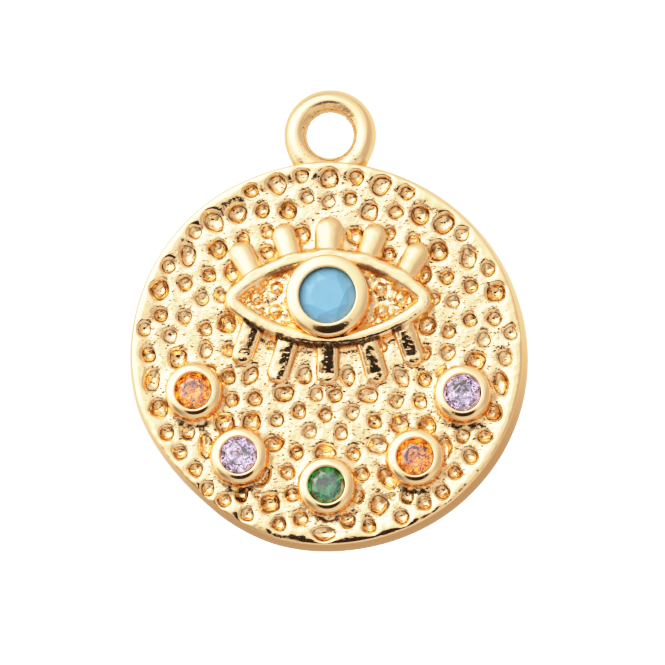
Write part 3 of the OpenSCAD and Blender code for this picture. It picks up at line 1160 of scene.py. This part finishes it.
def paintedShadeShare(points):
    # painted shade: at the feet of the lid, the lashes and the bezels, under the lid, under the bezels and in
    # the loop's hole
    flat, z = points[:, :2], points[:, 2]
    feet = [lidDistance(flat) - eye["lidHalf"]]
    for lash in lashList:
        away, _, half = lashShare(lash, flat)
        feet.append(away - half)
    for setting in settings:
        feet.append(fromBezel(setting, flat))
    foot = np.exp(-(np.min(np.abs(feet), axis=0) / paintedShadeAndPits["footSpread"]) ** 2)
    foot *= z < disc["fieldHeight"] + paintedShadeAndPits["footRise"]
    share = np.maximum(paintedShadeAndPits["foot"] * foot, paintedShadeAndPits["underLid"] * underLid(flat)) * (z > paintedShadeAndPits["lowest"])
    patches = underBezels(flat) * (z < disc["fieldHeight"] + paintedShadeAndPits["bezelRise"])
    share = np.maximum(share, paintedShadeAndPits["underBezel"] * patches)
    return np.maximum(share, paintedShadeAndPits["holeWall"] * inHole(flat))


def markSkin(piece):
    places = np.empty(len(piece.data.vertices) * 3)
    piece.data.vertices.foreach_get("co", places)
    places = places.reshape(-1, 3) / millimetre
    dent, side = dentEdges(places)
    layers = {
        "cast": castShare(places), "satin": satinShare(places), "paintedShadeAndPits": paintedShadeShare(places),
        "dent": dent, "dentSide": side,
    }
    for name, values in layers.items():
        layer = piece.data.attributes.new(name, "FLOAT", "POINT")
        layer.data.foreach_set("value", values)


def goldMaterial():
    material = bpy.data.materials.new("gold_plate")
    tree = Tree(material)
    place = tree.node("ShaderNodeTexCoord", output="Object")
    layers = [tree.attribute(name) for name in ("cast", "satin", "paintedShadeAndPits", "dent", "dentSide")]
    cast, satin, brown, dent, side = layers

    longer = goldLook["fleckStretch"]
    stretched = tree.node("ShaderNodeVectorMath", {"operation": "MULTIPLY"}, (place, longer))
    flecks = tree.speckle(stretched, goldLook["fleckSize"], 1.0)
    pits = (flecks - goldLook["fleckShare"]).maths("MAXIMUM", 0.0) * goldLook["fleckDepth"]
    fine = tree.speckle(place, goldLook["fineSize"], 1.0) * goldLook["fineShare"]
    grainy = tree.speckle(place, goldLook["grainSize"], 2.0) + fine - pits
    bump = tree.node("ShaderNodeBump", {}, {
        "Height": grainy * (cast * (1 - goldLook["polishedGrain"]) + goldLook["polishedGrain"]),
        "Strength": 1.0,
        "Distance": goldLook["grainDepth"] * millimetre,
    })

    # painted shade: brown rings in the dents, darkest on their shaded side, blotches on their bottoms, the
    # mottled brown at the feet, under the lid and the bezels and in the loop's hole, and the dark pits
    wander = (tree.speckle(place, paintedShadeAndPits["dentGrain"], 2.0) - 0.5) * paintedShadeAndPits["dentWander"]
    away = (dent + wander - paintedShadeAndPits["dentEdge"]) / paintedShadeAndPits["dentSpread"]
    mottled = tree.speckle(place, paintedShadeAndPits["dentMottle"], 1.0) + side * paintedShadeAndPits["shade"] + paintedShadeAndPits["ringLeast"]
    edge = (1 - away * away).maths("MAXIMUM", 0.0) * mottled.maths("MINIMUM", 1.0)
    inside = ((paintedShadeAndPits["blotchEdge"] - dent) / paintedShadeAndPits["blotchFade"]).clipped()
    blotches = tree.speckle(place, paintedShadeAndPits["blotchSize"], 2.0) - paintedShadeAndPits["blotchShare"]
    blotches = (blotches * paintedShadeAndPits["blotchSharp"]).maths("MINIMUM", 1.0) * inside * paintedShadeAndPits["blotches"]
    brown = brown * (tree.speckle(place, paintedShadeAndPits["mottle"], 1.0) + paintedShadeAndPits["mottleLeast"])
    brown = brown.maths("MAXIMUM", edge).maths("MAXIMUM", blotches)
    brown = brown.maths("MAXIMUM", pits * cast * paintedShadeAndPits["pits"]).maths("MINIMUM", 1.0)

    patches = tree.speckle(place, goldLook["patchSize"], 2.0)
    patchy = patches * goldLook["patchSpread"] + goldLook["patchLeast"]
    colour = tree.mix(cast * patchy, goldLook["polished"], goldLook["cast"])
    # the painted shade and the pits in dark brown
    colour = tree.mix(brown, colour, goldLook["shadeAndPitBrown"])
    polished = goldLook["polishedRoughness"]
    rough = cast * (goldLook["castRoughness"] - polished) + satin * (goldLook["satinRoughness"] - polished)
    rough = rough + (patches - 0.5) * goldLook["patchRoughness"]
    rough = rough + brown * goldLook["brownRoughness"] + polished
    shader = tree.node("ShaderNodeBsdfPrincipled", {}, {
        "Base Color": colour,
        "Metallic": 1.0,
        "Roughness": rough,
        "Specular Tint": goldLook["grazing"],
        "Normal": bump,
    })
    tree.node("ShaderNodeOutputMaterial", {}, {"Surface": shader})
    return material


markSkin(medallion)
medallion.data.materials.clear()
medallion.data.materials.append(goldMaterial())
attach(medallion, "root")
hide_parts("medallion")


# Stones

stoneLooks = {
    "eye_stone": {"colour": (0.18, 0.42, 0.63), "roughness": 0.16, "clear": 0.0, "ior": 1.45, "worn": 0.0},
    "orange": {"colour": (1.0, 0.20, 0.005), "roughness": 0.0, "clear": 1.0, "ior": 2.1, "worn": 0.03},
    "lilac": {"colour": (0.46, 0.34, 0.53), "roughness": 0.0, "clear": 1.0, "ior": 2.1, "worn": 0.03},
    "green": {"colour": (0.006, 0.12, 0.03), "roughness": 0.0, "clear": 1.0, "ior": 2.1, "worn": 0.02},
}
stoneMarks = {
    "cloudSize": 2 / 3,  # mm
    "cloudShade": 0.85,
    "wornSize": 0.3,
    "wornFade": 0.05,
}


def stoneMaterial(name, look, girdle):
    material = bpy.data.materials.new(name)
    tree = Tree(material)
    place = tree.node("ShaderNodeTexCoord", output="Object")
    cloud = tree.speckle(place, stoneMarks["cloudSize"], 2.0)
    dark = tuple(c * stoneMarks["cloudShade"] for c in look["colour"])
    # small uneven places in the polish below the girdle, which break up what shows through the stone
    height = tree.node("ShaderNodeSeparateXYZ", {}, (place,), output="Z")
    under = ((girdle * millimetre - height) / (stoneMarks["wornFade"] * millimetre)).clipped()
    worn = tree.node("ShaderNodeTexVoronoi", {}, {
        "Vector": place, "Scale": 1 / (stoneMarks["wornSize"] * millimetre),
    })
    bump = tree.node("ShaderNodeBump", {}, {
        "Height": worn * under, "Strength": 1.0, "Distance": look["worn"] * millimetre,
    })
    shader = tree.node("ShaderNodeBsdfPrincipled", {}, {
        "Base Color": tree.mix(cloud, (*look["colour"], 1), (*dark, 1)),
        "Roughness": look["roughness"],
        "IOR": look["ior"],
        "Transmission Weight": look["clear"],
        "Normal": bump,
    })
    tree.node("ShaderNodeOutputMaterial", {}, {"Surface": shader})
    return material


for name in stones:
    key = name if name == "eye_stone" else name.split("_")[0]
    material = bpy.data.materials.get(key + "_cut")
    if not material:
        material = stoneMaterial(key + "_cut", stoneLooks[key], girdleHeight(stones[name]))
    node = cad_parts[name]
    if not node.material_slots:
        node.data.materials.append(material)
    node.material_slots[0].material = material
print("stones ready")


# White ground and soft studio light

studio = {
    "groundHalf": 0.6,
    "groundLight": (2.5, 2.5, 2.5),  # a lit white table, without a shadow
    "cardLight": (1.2, 1.15, 1.05),  # what the gold's sides see of it
    "cardShade": (0.55, 0.49, 0.46),  # and that in the pendant's own shade
    "shadeWay": (0.25, -0.97, 0),
    "shadeEdges": (-0.1, 0.75),
    "drop": 0.00001,
}


def makeTable(name, light, shade, seen):
    # one is seen by the camera alone, the other in reflections alone
    half, z = studio["groundHalf"], -studio["drop"]
    corners = [(-half, -half, z), (half, -half, z), (half, half, z), (-half, half, z)]
    mesh = bpy.data.meshes.new(name)
    mesh.from_pydata(corners, [], [(0, 1, 2, 3)])
    table = bpy.data.objects.new(name, mesh)
    scene.collection.objects.link(table)
    material = bpy.data.materials.new(name)
    tree = Tree(material)
    place = tree.node("ShaderNodeTexCoord", output="Object")
    share = tree.facing(place, studio["shadeWay"], *studio["shadeEdges"])
    colour = tree.mix(share, (*light, 1), (*shade, 1))
    shader = tree.node("ShaderNodeEmission", {}, {"Color": colour, "Strength": 1.0})
    tree.node("ShaderNodeOutputMaterial", {}, {"Surface": shader})
    mesh.materials.append(material)
    table.visible_camera = seen
    table.visible_glossy = table.visible_diffuse = table.visible_transmission = not seen


# The tent's brightness by direction: a base, soft boxes, and the dark lens that looks in
tent = {
    "base": 0.38,
    "boxes": [
        # direction, how far it reaches in degrees, softness, brightness
        ((-0.55, 0.40, 0.73), 30, 0.1, 2.65),
        ((-0.13, 0.15, 0.98), 25, 0.06, 0.9),
        ((0.7, 0.12, 0.7), 36, 0.15, 0.3),
        ((0.1, 0.7, 0.7), 30, 0.12, 0.8),
        ((0.2, -0.7, 0.7), 32, 0.12, 0.6),
        ((-0.95, 0.1, 0.3), 34, 0.1, 1.1),
        ((0, 0, -1), 105, 0.15, 0.5),  # a bright skirt all round
    ],
    "lens": (0.0, 14.0),  # degrees to the right of and below the face's normal
    "lensReach": 12.5,
    "lensSoft": 0.005,
    "lensDark": 0.97,
}


def makeTent():
    world = bpy.data.worlds.new("tent")
    scene.world = world
    tree = Tree(world)
    way = tree.node("ShaderNodeTexCoord", output="Generated")

    def lobe(direction, reach, soft):
        edge = math.cos(math.radians(reach))
        return tree.facing(way, tuple(Vector(direction).normalized()), edge - soft, edge + soft)

    bright = tent["base"]
    for direction, reach, soft, power in tent["boxes"]:
        bright = lobe(direction, reach, soft) * power + bright
    right, below = (math.sin(math.radians(a)) for a in tent["lens"])
    lens = (right, -below, math.sqrt(1 - right ** 2 - below ** 2))
    bright = bright * (1 - lobe(lens, tent["lensReach"], tent["lensSoft"]) * tent["lensDark"])
    light = tree.node("ShaderNodeBackground", {}, {"Color": (1, 1, 1, 1), "Strength": bright})
    tree.node("ShaderNodeOutputWorld", {}, {"Surface": light})


# The picture's response to light: straight at first, then a soft shoulder up to white
tone = {
    "white": 2.4,  # this much light comes out white
    "curve": [
        (0.04, 0.03), (0.15, 0.14), (0.35, 0.36), (0.55, 0.55),
        (0.76, 0.72), (1.05, 0.86), (1.3, 0.92), (1.8, 0.965),
    ],
}


def makeTone():
    view = scene.view_settings
    view.view_transform = "Standard"
    view.look = "None"
    view.use_curve_mapping = True
    mapping = view.curve_mapping
    mapping.white_level = (tone["white"],) * 3
    points = mapping.curves[3].points
    for light, shown in tone["curve"]:
        points.new(light / tone["white"], shown)
    mapping.update()


makeTable("ground", studio["groundLight"], studio["groundLight"], True)
makeTable("card", studio["cardLight"], studio["cardShade"], False)
makeTent()
makeTone()
print("studio ready")
